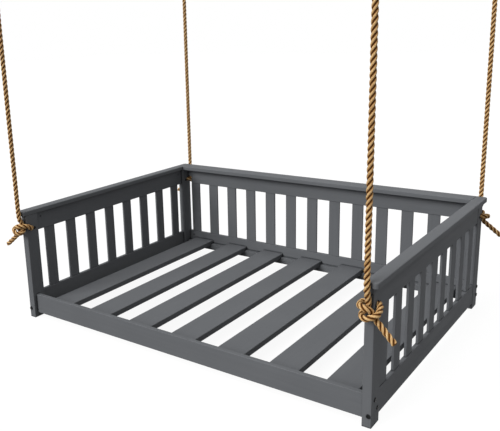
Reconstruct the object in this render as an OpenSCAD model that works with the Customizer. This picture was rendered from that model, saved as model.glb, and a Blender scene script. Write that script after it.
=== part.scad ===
// Hanging swing bed: a slatted daybed with panelled ends and a panelled back.
// A rope at each corner is knotted through its post and hangs from the ceiling.
// Origin: on the ceiling plane, at the middle of the four eye bolts.
// +X runs along the bed, +Y to its back, +Z up. Every size is in millimetres.
// Corner pieces are drawn once, for the back right corner, and mirrored.

/* [Bed] */
// Outside length over the posts
bed_l = 2000; // [1700:10:2400]
// Outside depth over the posts
bed_d = 1450; // [1150:10:1700]
// Height of the ceiling above the feet
ceiling_h = 2020; // [1950:10:2600]

/* [Posts] */
// Post width, along the bed
post_w = 40; // [36:1:60]
// Post depth, front to back
post_d = 78; // [74:1:110]
// Post height
post_h = 584; // [540:2:760]
// Rounding of the posts' long edges
post_r = 4; // [2:0.5:8]

/* [Rails] */
// Thickness of the end and back rails
rail_t = 20; // [18:1:28]
// Step from a post's outer face in to a rail's outer face
rail_inset = 2; // [0:0.5:8]
// Height of the lower rails' bottom edge above the feet
lower_rail_z = 30; // [20:1:40]
// Height of a lower rail
lower_rail_h = 108; // [98:1:140]
// Height of an upper rail
upper_rail_h = 100; // [80:1:120]
// Rounding of the rails' long edges
rail_r = 3; // [1:0.5:4]

/* [Front rail] */
// Thickness of the front rail
front_rail_t = 24; // [20:1:32]
// Step from the front posts' face back to the front rail
front_rail_inset = 20; // [10:1:26]
// Height of the front rail's bottom edge above the feet
front_rail_z = 25; // [15:1:30]
// Height of the front rail
front_rail_h = 106; // [100:1:140]

/* [Cap rails] */
// Thickness of the cap rails
cap_t = 24; // [20:1:36]
// Overhang of the cap rails past the posts
cap_over = 18; // [8:1:30]
// Plan radius of the cap rails' corners
cap_r = 16; // [4:1:25]

/* [Spindles] */
// Width of the flat spindles
spindle_w = 68; // [50:1:80]
// Thickness of the spindles
spindle_t = 12; // [9:0.5:14]
// Number of spindles in the back
back_spindles = 13; // [9:1:15]
// Number of spindles in the left end
left_spindles = 8; // [5:1:9]
// Number of spindles in the right end
right_spindles = 9; // [5:1:10]
// Gap from a back post to the first spindle
back_end_gap = 24; // [15:1:60]
// Gap from the front left post to the first spindle
left_front_gap = 64; // [20:1:80]
// Gap from the back left post to the last spindle
left_back_gap = 40; // [20:1:80]
// Gap from the front right post to the first spindle
right_front_gap = 13; // [10:1:60]
// Gap from the back right post to the last spindle
right_back_gap = 51; // [20:1:80]
// Length of the tenon at each end of a spindle
tenon_l = 12; // [6:1:18]
// Step from a spindle's edge in to its tenon, across its width
tenon_step = 6; // [3:1:10]
// Step from a spindle's face in to its tenon
tenon_cheek = 2; // [1:0.5:3]
// Clearance round a tenon in its mortise
tenon_fit = 0.2; // [0.1:0.05:0.4]

/* [Slats] */
// Number of slats
slats = 7; // [5:1:9]
// Width of a slat
slat_w = 145; // [100:1:160]
// Thickness of a slat
slat_t = 30; // [26:1:34]
// Thickness left where a slat's end rests on its cleat
slat_seat_t = 20; // [16:1:24]
// Height of the slats' top above the feet
slat_top = 92; // [88:1:96]
// Gap from an end rail's inner face to the first slat
slat_end_gap = 74.5; // [40:0.5:120]
// Gap from a slat's end to the rail
slat_play = 0.5; // [0.3:0.1:3]
// Gap from a slat's shoulder to its cleat
shoulder_play = 2; // [1:0.5:4]
// Rounding of the cleats' edges
cleat_r = 1.5; // [1:0.5:3]
// Depth of the cleats that carry the slats
cleat_w = 30; // [24:1:40]
// Height of the cleats
cleat_h = 40; // [32:1:44]

/* [Fasteners] */
// Shank diameter of the post bolts
bolt_d = 8; // [6:0.5:9]
// Diameter of a bolt's head
bolt_head_d = 18; // [14:1:20]
// Height of a bolt's head
bolt_head_h = 4; // [3:0.5:6]
// Distance from a rail's end to its barrel nut
nut_in = 35; // [25:1:50]
// Diameter of a barrel nut
nut_d = 12; // [10.5:0.5:14]
// Length of a barrel nut
nut_l = 15; // [12:1:16]
// Height of the lower bolt of an end above the feet
end_bolt_low = 50; // [47:1:52]
// Drop from a post's top to the upper bolt of an end
end_bolt_drop = 28; // [26:1:32]
// Height of the low bolt into the cleat or the back rail above the feet
long_bolt_low = 63; // [62:1:66]
// Height of the upper bolt into the front or back lower rail
long_bolt_high = 110; // [98:1:116]
// Drop from a post's top to the upper bolt of the back
long_bolt_drop = 12; // [10:1:13]
// Head diameter of the cross bolt beside a rope hole
cross_head_d = 14; // [10:1:16]
// Distance from a post's outer face in to its cross bolt
cross_bolt_in = 51; // [50:1:54]
// Diameter of the flush heads of the end rails' upper bolts
flush_head_d = 14; // [10:1:15]
// Diameter of the cap rails' dowels
dowel_d = 8; // [6:0.5:10]
// Depth of a dowel in its cap rail
dowel_up = 14; // [8:1:16]
// Depth of a dowel in a post or an upper rail
dowel_down = 16; // [10:1:18]
// Shank diameter of the wood screws
screw_d = 4.5; // [3.5:0.5:5]
// Head diameter of the wood screws
screw_head_d = 9; // [7:0.5:10]
// Length of a slat's screw
slat_screw_l = 36; // [28:1:40]
// Length of a cleat's screw
cleat_screw_l = 45; // [40:1:47]
// Clearance round a fastener in its hole
fastener_fit = 0.25; // [0.1:0.05:0.5]

/* [Rope] */
// Diameter of the ropes
rope_d = 25; // [25:1:26]
// Gap between a rope and the edge of the cap rails
rope_gap = 1.5; // [1:0.5:4]
// Diameter of the rope hole across a post
rope_hole_d = 27; // [27:0.5:32]
// Drop from a post's top to its rope hole
rope_hole_drop = 72; // [70:1:76]
// Distance from a post's outer face in to its rope hole
rope_hole_in = 28; // [27:0.5:29]
// Length of the notch in the upper back rail's ends that lets the rope past
notch_l = 29; // [28:0.5:29]
// Height of that notch
notch_h = 50; // [49:1:56]
// Height above the cap rail at which a rope begins to bend
flex_up = 16; // [14:1:40]
// Length of rope that takes the bend
flex_l = 30; // [28:1:60]

/* [Ceiling fittings] */
// Diameter of the eye bolts' shanks
stud_d = 12; // [10:1:16]
// Length of shank above the ceiling plane
stud_l = 100; // [60:5:160]
// Diameter of the washers under the ceiling
washer_d = 50; // [36:1:70]
// Thickness of the washers
washer_t = 5; // [3:0.5:8]
// Width by which a washer's hole is wider than the shank
washer_play = 3; // [2:0.5:4]
// Diameter of an eye bolt's collar
collar_d = 26; // [20:1:34]
// Height of an eye bolt's collar
collar_h = 6; // [4:1:12]
// Bar diameter of an eye bolt's eye
eye_bar_d = 12; // [10:1:12]
// Inside diameter of the eye
eye_hole_d = 30; // [28:1:40]
// Bar diameter of a shackle
shackle_bar_d = 14; // [12:1:15]
// Inside width of a shackle
shackle_in = 34; // [34:1:40]
// Length of a shackle's straight legs, from its bow's centre to its pin
shackle_leg = 42; // [40:1:60]
// Diameter of a shackle's lug
lug_d = 30; // [26:1:36]
// Diameter of a shackle's pin
pin_d = 14; // [12:1:16]
// Clearance round the pin in the lugs
pin_fit = 0.3; // [0.1:0.05:0.5]
// Inside diameter of a thimble
thimble_hole_d = 36; // [32:1:40]
// Width of a thimble along the pin
thimble_w = 32; // [31:0.5:32]
// Wall of a thimble at the bottom of its groove
thimble_wall = 3; // [2:0.5:4]
// Gap where one hanging piece rests on the next
hang_gap = 0.3; // [0.2:0.05:0.5]

/* [Hidden] */
$fn = 48;

// The corners in order: front left, front right, back left, back right.
corners = [[-1, -1], [1, -1], [-1, 1], [1, 1]];
wood = "#666a6c";
manila = "#c39a5c";
steel = "#8d9194";

// Half lengths to the posts' outer and inner faces.
half_l = bed_l / 2;
half_d = bed_d / 2;
in_l = half_l - post_w;
in_d = half_d - post_d;

// Heights above the feet.
cap_top = post_h + cap_t;
upper_rail_z = post_h - upper_rail_h;
lower_rail_top = lower_rail_z + lower_rail_h;
cleat_top = slat_top - slat_seat_t;
hole_z = post_h - rope_hole_drop;

// Centre planes of the rails and cleats.
side_rail_x = half_l - rail_inset - rail_t / 2;
back_rail_y = half_d - rail_inset - rail_t / 2;
front_rail_y = half_d - front_rail_inset - front_rail_t / 2;
front_face_in = front_rail_y - front_rail_t / 2;
back_face_in = back_rail_y - rail_t / 2;
side_face_in = side_rail_x - rail_t / 2;
front_cleat_y = front_face_in - cleat_w / 2;
back_cleat_y = back_face_in - cleat_w / 2;

// Bolts of one corner. An end bolt runs along Y: its height above the feet.
// The upper one has a small head, flush with the post's face and painted over.
end_bolt_high = post_h - end_bolt_drop;
end_bolts = [end_bolt_low, end_bolt_high];
// A long bolt runs along X: its distance from the bed's centre line, and its height.
front_bolts = [[front_cleat_y, long_bolt_low], [front_rail_y, long_bolt_high]];
back_bolts = [
    [back_rail_y, long_bolt_low],
    [back_rail_y, long_bolt_high],
    [back_rail_y, post_h - long_bolt_drop]
];
// The cross bolt runs through a post along X, just behind the rope.
cross_bolt_below = 4;
cross_bolt = [half_d - cross_bolt_in, hole_z - cross_bolt_below];
cross_head_h = 3;
bolt_hole_r = bolt_d / 2 + fastener_fit;
nut_hole_r = nut_d / 2 + fastener_fit;
nut_fit = 0.1;
// Length of a bolt past its barrel nut's axis.
bolt_past_nut = 10;
// Length by which a cut runs past a face.
past = 1;

// Dowels of the cap rails.
end_dowels = [for (share = [-0.8, -0.3, 0.3, 0.8]) share * in_d];
back_dowels = [for (share = [-0.84, -0.42, 0, 0.42, 0.84]) share * in_l];
// A post's dowel stands clear of the end bolt, towards the middle of the bed.
post_dowel_off = 8;
post_dowel_x = half_l - post_w / 2 - post_dowel_off;
post_dowel_y = half_d - post_d / 2;
dowel_fit = 0.1;
dowel_hole_r = dowel_d / 2 + dowel_fit;
// Room left past a dowel's end in its hole.
dowel_end_gap = 0.5;

// Slats, evenly spaced between the end rails.
slat_pitch = (2 * (side_face_in - slat_end_gap) - slat_w) / (slats - 1);

// Screws of the slats and cleats.
slat_screw_in = 27;
screw_side = slat_w / 2 - slat_screw_in;
screw_head_h = 4;
cleat_screw_z = (cleat_top + cleat_top - cleat_h) / 2;

// Ropes.
rope_r = rope_d / 2;
rope_out = cap_over + rope_gap + rope_r;
rope_x = half_l - post_w / 2;
rope_y = half_d + rope_out;
rope_sides = 8;
// Spacing of the rings along a straight rope, in diameters.
ring_spacing = 3;
flex_low = cap_top + flex_up;
flex_high = flex_low + flex_l;
// A rounded rope end: each ring's angle below the ball's equator.
round_end = [-82, -42, 0];

// Heights of the ceiling fittings, below the ceiling plane.
eye_r = (eye_hole_d + eye_bar_d) / 2;
bow_r = (shackle_in + shackle_bar_d) / 2;
eye_drop = 2;
eye_z = -washer_t - collar_h - eye_drop - eye_r - eye_bar_d / 2;
bow_z = eye_z - eye_r + eye_bar_d / 2 + hang_gap - shackle_in / 2;
pin_z = bow_z - shackle_leg;
thimble_z = pin_z + pin_d / 2 + hang_gap - thimble_hole_d / 2;
thimble_r = thimble_hole_d / 2 + thimble_wall;
lug_t = shackle_bar_d - 2;
leg_low = pin_d / 2 + 2;
// A shackle pin's knobs: the step up from the pin, the width and the gap to the lug.
knob_step = 4;
knob_w = 8.5;
knob_gap = 0.5;
// Clearance of a rope in its thimble's groove, and the flange's step below its middle.
groove_play = 0.8;
flange_step = 1;

// A rope's eye: its rings stand outside the thimble's groove, between its flanges.
loop_from = -35;
loop_to = 215;
loop_steps = 6;
loop_half_step = (loop_to - loop_from) / loop_steps / 2;
loop_r = (thimble_r + hang_gap) / cos(loop_half_step) + rope_r;
// The two legs of the eye lie side by side below the thimble.
leg_x = rope_r + 0.4;
leg_top = 50;
leg_bottom = 112;
// The standing leg begins its lean a little below the tail's end.
lean_below = 4;
leg_joined = 165;
seizings = [62, 88];
seizing_h = 18;
seizing_t = 3;
seizing_fit = 0.4;

// Route of a knot, by hand: outward along X from the rope, up from the rope hole,
// and out from the post's face. The rope comes down in front of its post, swings to
// the inner side and forward, crosses to the outer edge and goes through the hole.
// It comes round the inner edge, crosses in front of its own standing part, passes
// behind its first turn and ends in a loose tail.
knot_route = [
    [0, 62, 29.5], [0.5, 45, 24], [1, 28, 18], [-1, 14, 15.5], [-7, 1, 15.5],
    [-14, -11, 19], [-18, -21, 28], [-14, -27, 39], [-3, -28, 47], [9, -26.5, 50],
    [21, -22, 49], [33, -16.5, 43.5], [42.5, -11, 31], [43, -5, 13], [38.5, -1, -6],
    [31.5, -0.5, -21.7], [19, 0, -28], [0, 0, -28], [-19, 0, -28], [-31.5, 2, -21.5],
    [-36, 4, -9], [-36, 7, 5], [-31, 10.5, 20], [-22, 12, 34], [-9, 10.5, 42.5],
    [5, 8, 43.5], [14.5, 2.5, 36], [18, -7, 26], [19.5, -18, 17.5], [24, -31, 14.5],
    [35, -43, 15.5], [52, -57, 19], [74, -76, 24], [112, -108, 32]
];
knot_steps = 2;

// ---- Helpers ----

// Moves pieces that are measured from the feet.
module from_feet() {
    translate([0, 0, -ceiling_h])
        children();
}

// Mirrors a piece of the back right corner into corner n.
module at_corner(n) {
    mirror([0, corners[n - 1].y < 0 ? 1 : 0, 0])
        mirror([corners[n - 1].x < 0 ? 1 : 0, 0, 0])
            children();
}

// A rectangle about its centre with rounded corners.
module rounded(w, h, r) {
    square([w - 2 * r, h], center = true);
    square([w, h - 2 * r], center = true);
    for (x = [-1, 1], y = [-1, 1])
        translate([x * (w / 2 - r), y * (h / 2 - r)])
            circle(r);
}

// A board along X with rounded long edges, from its bottom's centre line.
module board_x(l, d, h, r) {
    translate([-l / 2, 0, h / 2])
        rotate([90, 0, 90])
            linear_extrude(l)
                rounded(d, h, r);
}

// The same board along Y.
module board_y(l, d, h, r) {
    rotate([0, 0, 90])
        board_x(l, d, h, r);
}

// Cylinders along X and Y that start at the origin, and one along Y about it.
module rod_x(r, l) {
    rotate([0, 90, 0])
        cylinder(r = r, h = l);
}

module rod_y(r, l) {
    rotate([-90, 0, 0])
        cylinder(r = r, h = l);
}

module rod_y_mid(r, l) {
    rotate([90, 0, 0])
        cylinder(r = r, h = l, center = true);
}

// Sweep of a round tube: p is its route, r a radius for each point.
function unit(v) = v / norm(v);
function heading(p, i) = unit(p[min(i + 1, len(p) - 1)] - p[max(i - 1, 0)]);
function across(t, s) = unit(s - (s * t) * t);
function sides_of(p, s, i = 0) =
    i == len(p) ? [] :
    let (side = across(heading(p, i), s)) concat([side], sides_of(p, side, i + 1));
function ring(centre, t, s, r) =
    [for (k = [0:rope_sides - 1])
        let (a = 360 * k / rope_sides)
        centre + r * (cos(a) * s + sin(a) * cross(t, s))];

module tube(p, r) {
    n = rope_sides;
    last = len(p) - 1;
    side = sides_of(p, [0, 1, 0]);
    points = [for (i = [0:last]) each ring(p[i], heading(p, i), side[i], r[i])];
    walls = [for (i = [0:last - 1], k = [0:n - 1])
        let (a = i * n + k, b = i * n + (k + 1) % n)
        each [[a, a + n, b + n], [a, b + n, b]]];
    start = [for (k = [1:n - 2]) [0, k, k + 1]];
    end = [for (k = [1:n - 2]) [last * n, last * n + k + 1, last * n + k]];
    polyhedron(points, concat(walls, start, end));
}

// A smooth route through hand-placed points.
function curve(a, b, c, d, s) =
    0.5 * (2 * b + (c - a) * s + (2 * a - 5 * b + 4 * c - d) * s * s
        + (3 * b - a - 3 * c + d) * s * s * s);
function smooth(p, steps) = concat(
    [for (i = [0:len(p) - 2], s = [0:steps - 1])
        curve(p[max(i - 1, 0)], p[i], p[i + 1], p[min(i + 2, len(p) - 1)], s / steps)],
    [p[len(p) - 1]]);

// ---- Ceiling fittings ----

module eye_bolt() {
    translate([rope_x, rope_y, 0]) {
        translate([0, 0, eye_z]) {
            rotate([90, 0, 0])
                rotate_extrude()
                    translate([eye_r, 0])
                        circle(d = eye_bar_d);
            translate([0, 0, eye_r])
                cylinder(d = stud_d, h = stud_l - eye_z - eye_r);
        }
        translate([0, 0, -washer_t - collar_h])
            cylinder(d = collar_d, h = collar_h);
    }
}

module eye_bolts() {
    color(steel)
        for (n = [1:4])
            at_corner(n)
                eye_bolt();
}

module ceiling_washers() {
    color(steel)
        for (n = [1:4])
            at_corner(n)
                translate([rope_x, rope_y, -washer_t])
                    difference() {
                        cylinder(d = washer_d, h = washer_t);
                        translate([0, 0, -past])
                            cylinder(d = stud_d + washer_play, h = washer_t + 2 * past);
                    }
}

module shackle(n) {
    color(steel)
        at_corner(n)
            translate([rope_x, rope_y, 0])
                difference() {
                    union() {
                        translate([0, 0, bow_z])
                            rotate([90, 0, 90])
                                rotate_extrude(angle = 180)
                                    translate([bow_r, 0])
                                        circle(d = shackle_bar_d);
                        for (y = [-bow_r, bow_r]) {
                            translate([0, y, pin_z + leg_low])
                                cylinder(d = shackle_bar_d, h = shackle_leg - leg_low);
                            translate([0, y, pin_z])
                                rod_y_mid(lug_d / 2, lug_t);
                        }
                    }
                    translate([0, 0, pin_z])
                        rod_y_mid(pin_d / 2 + pin_fit, 2 * (bow_r + lug_t));
                }
}

module shackle_pin(n) {
    outer = bow_r + lug_t / 2;
    color(steel)
        at_corner(n)
            translate([rope_x, rope_y, pin_z]) {
                rod_y_mid(pin_d / 2, 2 * (outer + knob_gap));
                for (y = [-outer - knob_gap - knob_w, outer + knob_gap])
                    translate([0, y, 0])
                        rod_y(pin_d / 2 + knob_step, knob_w);
            }
}

module thimble(n) {
    flange_r = loop_r - flange_step;
    color(steel)
        at_corner(n)
            translate([rope_x, rope_y, thimble_z])
                rotate([90, 0, 0])
                    rotate_extrude()
                        difference() {
                            translate([thimble_hole_d / 2, -thimble_w / 2])
                                square([flange_r - thimble_hole_d / 2, thimble_w]);
                            translate([thimble_r, -rope_r - groove_play])
                                square([flange_r, rope_d + 2 * groove_play]);
                        }
}

module seizing(n) {
    module legs(extra) {
        for (x = [-leg_x, leg_x])
            translate([x, 0])
                circle(rope_r + extra);
        square([2 * leg_x, rope_d + 2 * extra], center = true);
    }
    color("#8a6a3c")
        at_corner(n)
            translate([rope_x, rope_y, thimble_z])
                for (drop = seizings)
                    translate([0, 0, -drop - seizing_h])
                        linear_extrude(seizing_h)
                            difference() {
                                legs(seizing_fit + seizing_t);
                                legs(seizing_fit);
                            }
}

// ---- Ropes ----

// From the eye's tail round the thimble and straight down to the bend.
module rope(n) {
    low = flex_high - ceiling_h;
    join_z = thimble_z - leg_joined;
    runs = ceil((join_z - low) / (ring_spacing * rope_d));
    eye = [for (i = [0:loop_steps])
        let (a = loop_to - i * (loop_to - loop_from) / loop_steps)
        [loop_r * cos(a), 0, thimble_z + loop_r * sin(a)]];
    straight = [for (i = [0:runs - 1]) [0, 0, join_z + i * (low - join_z) / runs]];
    tip = [for (i = [len(round_end) - 1:-1:0]) [0, 0, low + rope_r * sin(round_end[i])]];
    route = concat(
        [[-leg_x, 0, thimble_z - leg_bottom], [-leg_x, 0, thimble_z - leg_top]],
        eye,
        [[leg_x, 0, thimble_z - leg_top], [leg_x, 0, thimble_z - leg_bottom - lean_below]],
        straight, tip);
    tip_r = [for (i = [len(round_end) - 1:-1:0]) rope_r * cos(round_end[i])];
    radii = concat([for (i = [1:len(route) - len(tip)]) rope_r], tip_r);
    color(manila)
        at_corner(n)
            translate([rope_x, rope_y, 0])
                tube(route, radii);
}

// The short length of rope that takes the bend above the cap rail.
module rope_flex(n) {
    color(manila)
        from_feet()
            at_corner(n)
                translate([rope_x, rope_y, flex_low]) {
                    sphere(rope_r);
                    cylinder(r = rope_r, h = flex_l - rope_r - hang_gap);
                }
}

module rope_knot(n) {
    lead = [0, flex_low - rope_r - hang_gap - hole_z, rope_out];
    route = smooth(concat([lead], knot_route), knot_steps);
    places = [for (p = route) [p.x, p.z, p.y]];
    color(manila)
        from_feet()
            at_corner(n)
                translate([rope_x, half_d, hole_z])
                    tube(places, [for (p = places) rope_r]);
}

// ---- Posts ----

module post(n) {
    long_bolts = corners[n - 1].y < 0 ? front_bolts : back_bolts;
    color(wood)
        from_feet()
            at_corner(n)
                difference() {
                    translate([half_l - post_w / 2, half_d - post_d / 2, 0])
                        linear_extrude(post_h)
                            rounded(post_w, post_d, post_r);
                    translate([in_l - past, half_d - rope_hole_in, hole_z])
                        rod_x(rope_hole_d / 2, post_w + 2 * past);
                    for (z = end_bolts)
                        translate([side_rail_x, in_d - past, z])
                            rod_y(bolt_hole_r, post_d + 2 * past);
                    translate([side_rail_x, half_d - bolt_head_h, end_bolt_high])
                        rod_y(flush_head_d / 2 + fastener_fit, bolt_head_h + past);
                    for (b = concat(long_bolts, [cross_bolt]))
                        translate([in_l - past, b.x, b.y])
                            rod_x(bolt_hole_r, post_w + 2 * past);
                    translate([post_dowel_x, post_dowel_y, post_h - dowel_down - past])
                        cylinder(r = dowel_hole_r, h = dowel_down + 2 * past);
                }
}

// ---- Cap rails ----

// Blind holes in a cap rail's underside.
module cap_dowel_holes() {
    place_dowels(dowel_hole_r, past, dowel_up + past);
}

// The dowels' places: down is their length below the cap rails, up above.
module place_dowels(r, down, up) {
    for (x = [-1, 1], y = end_dowels)
        translate([x * side_rail_x, y, post_h - down])
            cylinder(r = r, h = down + up);
    for (x = back_dowels)
        translate([x, back_rail_y, post_h - down])
            cylinder(r = r, h = down + up);
    for (x = [-1, 1], y = [-1, 1])
        translate([x * post_dowel_x, y * post_dowel_y, post_h - down])
            cylinder(r = r, h = down + up);
}

module cap_side(x) {
    w = post_w + cap_over;
    d = bed_d + 2 * cap_over;
    color(wood)
        from_feet()
            difference() {
                translate([x * (in_l + w / 2), 0, post_h])
                    linear_extrude(cap_t) {
                        rounded(w, d, cap_r);
                        translate([-x * w / 4, d / 4])
                            square([w / 2, d / 2], center = true);
                    }
                cap_dowel_holes();
            }
}

module cap_left() {
    cap_side(-1);
}

module cap_right() {
    cap_side(1);
}

module cap_back() {
    color(wood)
        from_feet()
            difference() {
                translate([-in_l, in_d, post_h])
                    cube([2 * in_l, post_d + cap_over, cap_t]);
                cap_dowel_holes();
            }
}

// ---- Rails ----

// Mortises for a panel's spindle tenons, where z is the edge that they open from.
module mortises(spots, z) {
    for (spot = spots)
        translate([spot, 0, z])
            cube([
                spindle_w - 2 * tenon_step + 2 * tenon_fit,
                spindle_t - 2 * tenon_cheek + 2 * tenon_fit,
                2 * (tenon_l + tenon_fit)
            ], center = true);
}

// Holes in both ends of a rail of length l: the bolts and their barrel nuts,
// which are pushed in from the side that faces the bed's middle, at -Y.
module end_holes(l, t, heights) {
    for (side = [0, 1], z = heights)
        mirror([side, 0, 0])
            translate([l / 2, 0, z]) {
                translate([-nut_in - bolt_past_nut - past, 0, 0])
                    rod_x(bolt_hole_r, nut_in + bolt_past_nut + 2 * past);
                translate([-nut_in, -t / 2 - past, 0])
                    rod_y(nut_hole_r, t / 2 + past + nut_l / 2 + fastener_fit);
            }
}

// Middles of n even spindles along a span about zero, with a gap at each end.
function spots_of(n, span, low_gap, high_gap) =
    [for (i = [0:n - 1])
        -span / 2 + low_gap + spindle_w / 2
            + i * (span - low_gap - high_gap - spindle_w) / (n - 1)];

back_spots = spots_of(back_spindles, 2 * in_l, back_end_gap, back_end_gap);
left_spots = spots_of(left_spindles, 2 * in_d, left_front_gap, left_back_gap);
right_spots = spots_of(right_spindles, 2 * in_d, right_back_gap, right_front_gap);

function end_spots(x) = x < 0 ? left_spots : right_spots;

// A rail along X about the origin's Y, at its real height.
module rail(l, z, h, edge, spots, heights) {
    difference() {
        translate([0, 0, z])
            board_x(l, rail_t, h, rail_r);
        mortises(spots, edge);
        end_holes(l, rail_t, heights);
    }
}

// Turns a rail of the back into one of an end, with its outer face outward.
module to_side(x) {
    translate([x * side_rail_x, 0, 0])
        rotate([0, 0, -90 * x])
            children();
}

module upper_side(x) {
    color(wood)
        from_feet()
            difference() {
                to_side(x)
                    rail(2 * in_d, upper_rail_z, upper_rail_h, upper_rail_z,
                        end_spots(x), [end_bolt_high]);
                place_dowels(dowel_hole_r, dowel_down + past, past);
            }
}

module lower_side(x) {
    color(wood)
        from_feet()
            to_side(x)
                rail(2 * in_d, lower_rail_z, lower_rail_h, lower_rail_top,
                    end_spots(x), [end_bolt_low]);
}

module upper_rail_left() {
    upper_side(-1);
}

module upper_rail_right() {
    upper_side(1);
}

module upper_rail_back() {
    color(wood)
        from_feet()
            difference() {
                translate([0, back_rail_y, 0])
                    rail(2 * in_l, upper_rail_z, upper_rail_h, upper_rail_z,
                        back_spots, [post_h - long_bolt_drop]);
                place_dowels(dowel_hole_r, dowel_down + past, past);
                rope_notches();
            }
}

// Notches at the upper back rail's ends, open below, where the ropes pass.
module rope_notches() {
    for (x = [-1, 1])
        translate([x * in_l, back_rail_y, upper_rail_z])
            cube([2 * notch_l, 2 * rail_t, 2 * notch_h], center = true);
}

module lower_rail_left() {
    lower_side(-1);
}

module lower_rail_right() {
    lower_side(1);
}

module lower_rail_back() {
    color(wood)
        from_feet()
            difference() {
                translate([0, back_rail_y, 0])
                    rail(2 * in_l, lower_rail_z, lower_rail_h, lower_rail_top,
                        back_spots, [long_bolt_low, long_bolt_high]);
                cleat_screws(fastener_fit);
            }
}

module front_rail() {
    color(wood)
        from_feet()
            difference() {
                translate([0, -front_rail_y, 0])
                    mirror([0, 1, 0])
                        difference() {
                            translate([0, 0, front_rail_z])
                                board_x(2 * in_l, front_rail_t, front_rail_h, rail_r);
                            end_holes(2 * in_l, front_rail_t, [long_bolt_high]);
                        }
                cleat_screws(fastener_fit);
            }
}

// ---- Cleats and slats ----

module cleat(y) {
    translate([0, y, cleat_top - cleat_h])
        board_x(2 * in_l, cleat_w, cleat_h, cleat_r);
}

module cleat_front() {
    color(wood)
        from_feet()
            difference() {
                cleat(-front_cleat_y);
                translate([0, -front_cleat_y, 0])
                    mirror([0, 1, 0])
                        end_holes(2 * in_l, cleat_w, [long_bolt_low]);
                slat_screws(fastener_fit);
                cleat_screws(fastener_fit);
            }
}

module cleat_back() {
    color(wood)
        from_feet()
            difference() {
                cleat(back_cleat_y);
                back_nut_access();
                slat_screws(fastener_fit);
                cleat_screws(fastener_fit);
            }
}

// Room in the back cleat's ends for the low barrel nuts of the back rail.
module back_nut_access() {
    for (x = [-1, 1])
        translate([x * (in_l - nut_in), back_face_in - cleat_w - past, long_bolt_low])
            rod_y(nut_hole_r, cleat_w + 2 * past);
}

slat_spots = [for (i = [0:slats - 1]) (i - (slats - 1) / 2) * slat_pitch];
cleat_screw_spots = [for (i = [0:slats - 2]) (i - (slats - 2) / 2) * slat_pitch];

// A slat, cut away under its ends where it rests on the cleats.
module slat(i) {
    seat_l = cleat_w + shoulder_play;
    l = front_face_in + back_face_in - 2 * slat_play;
    color(wood)
        from_feet()
            difference() {
                translate([slat_spots[i], (back_face_in - front_face_in) / 2, slat_top - slat_t])
                    board_y(l, slat_w, slat_t, rail_r);
                for (y = [-front_face_in, back_face_in - seat_l])
                    translate([slat_spots[i] - slat_w, y, cleat_top - slat_t])
                        cube([2 * slat_w, seat_l, slat_t]);
                slat_screws(fastener_fit);
            }
}

// ---- Spindles ----

module spindles(spots) {
    h = upper_rail_z - lower_rail_top;
    for (spot = spots)
        translate([spot, 0, lower_rail_top]) {
            translate([-spindle_w / 2, -spindle_t / 2, 0])
                cube([spindle_w, spindle_t, h]);
            translate([0, 0, h / 2])
                cube([
                    spindle_w - 2 * tenon_step,
                    spindle_t - 2 * tenon_cheek,
                    h + 2 * tenon_l
                ], center = true);
        }
}

module spindles_left() {
    color(wood)
        from_feet()
            to_side(-1)
                spindles(left_spots);
}

module spindles_right() {
    color(wood)
        from_feet()
            to_side(1)
                spindles(right_spots);
}

module spindles_back() {
    color(wood)
        from_feet()
            translate([0, back_rail_y, 0])
                spindles(back_spots);
}

// ---- Fasteners ----

// A bolt along X from its head's seat at the origin, towards -X.
module bolt(l, head_r) {
    rod_x(head_r, bolt_head_h);
    mirror([1, 0, 0])
        rod_x(bolt_d / 2, l);
}

module corner_bolts(n) {
    long_bolts = corners[n - 1].y < 0 ? front_bolts : back_bolts;
    in = nut_in + bolt_past_nut;
    translate([side_rail_x, half_d, end_bolt_low])
        rotate([0, 0, 90])
            bolt(post_d + in, bolt_head_d / 2);
    translate([side_rail_x, half_d - bolt_head_h, end_bolt_high])
        rotate([0, 0, 90])
            bolt(post_d - bolt_head_h + in, flush_head_d / 2);
    for (b = long_bolts)
        translate([half_l, b.x, b.y])
            bolt(post_w + in, bolt_head_d / 2);
    translate([in_l, cross_bolt.x, cross_bolt.y]) {
        rod_x(bolt_d / 2, post_w);
        for (x = [-cross_head_h, post_w])
            translate([x, 0, 0])
                rod_x(cross_head_d / 2, cross_head_h);
    }
}

module post_bolts() {
    color("#202224")
        from_feet()
            for (n = [1:4])
                at_corner(n)
                    corner_bolts(n);
}

// A barrel nut along Y with its cross hole along X.
module barrel_nut() {
    difference() {
        rod_y_mid(nut_d / 2, nut_l);
        translate([-nut_d, 0, 0])
            rod_x(bolt_d / 2 + nut_fit, 2 * nut_d);
    }
}

module barrel_nuts() {
    color(steel)
        from_feet()
            for (n = [1:4])
                at_corner(n) {
                    for (z = end_bolts)
                        translate([side_rail_x, in_d - nut_in, z])
                            rotate([0, 0, 90])
                                barrel_nut();
                    for (b = corners[n - 1].y < 0 ? front_bolts : back_bolts)
                        translate([in_l - nut_in, b.x, b.y])
                            barrel_nut();
                }
}

module cap_dowels() {
    color("#b08d5e")
        from_feet()
            place_dowels(dowel_d / 2, dowel_down - dowel_end_gap, dowel_up - dowel_end_gap);
}

// A countersunk screw down along -Z from its head's top; fit widens it into a hole.
module screw(l, fit) {
    translate([0, 0, -l - fit])
        cylinder(r = screw_d / 2 + fit, h = l + fit);
    translate([0, 0, -screw_head_h])
        cylinder(r1 = screw_d / 2 + fit, r2 = screw_head_d / 2 + fit, h = screw_head_h);
    if (fit > 0)
        cylinder(r = screw_head_d / 2 + fit, h = past);
}

module slat_screws(fit) {
    for (spot = slat_spots, side = [-screw_side, screw_side], y = [-front_cleat_y, back_cleat_y])
        translate([spot + side, y, slat_top])
            screw(slat_screw_l, fit);
}

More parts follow.
